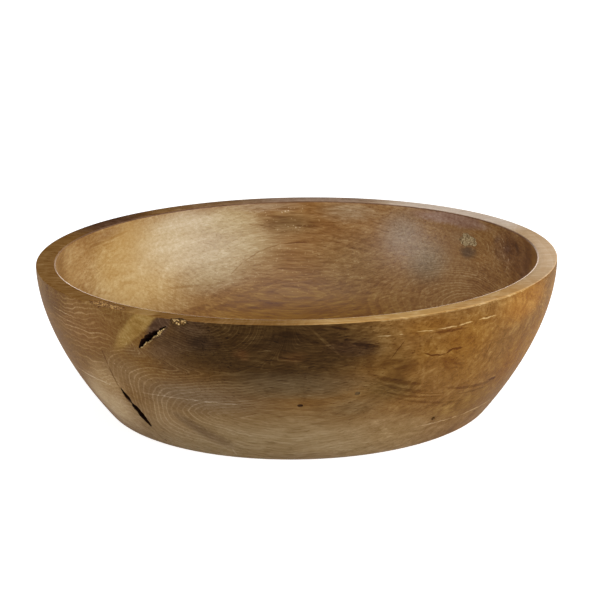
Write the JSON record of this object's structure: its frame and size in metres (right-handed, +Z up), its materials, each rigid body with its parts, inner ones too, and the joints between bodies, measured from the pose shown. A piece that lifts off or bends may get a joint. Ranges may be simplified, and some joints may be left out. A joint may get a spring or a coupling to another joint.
{
  "type": "fruit bowl",
  "caption": "Wide round fruit bowl turned from one block of root wood, with a flat rim, flared wall, flat foot, open drying checks and inlaid pin knots and fills.",
  "frame": {"origin": "centre of the foot, on the surface that the bowl stands on", "axes": "+Z up along the turning axis; -Y is the front, the side that the picture shows; +X is its right"},
  "size_m": [0.4, 0.4, 0.116],
  "materials": {
    "turned_wood": "oiled satin root wood, brown with golden sapwood and dark heartwood",
    "sawdust_fill": "rough, crumbly sawdust and bark",
    "knot_wood": "dark, matt end grain"
  },
  "bodies": {
    "root": {"bowl_body": "turned_wood", "check_fill": "sawdust_fill", "left_rim_fill": "sawdust_fill", "front_rim_fill": "sawdust_fill", "inner_fill": "sawdust_fill", "front_pin_knot": "knot_wood", "middle_pin_knot": "knot_wood", "right_pin_knot": "knot_wood"}
  },
  "joints": []
}
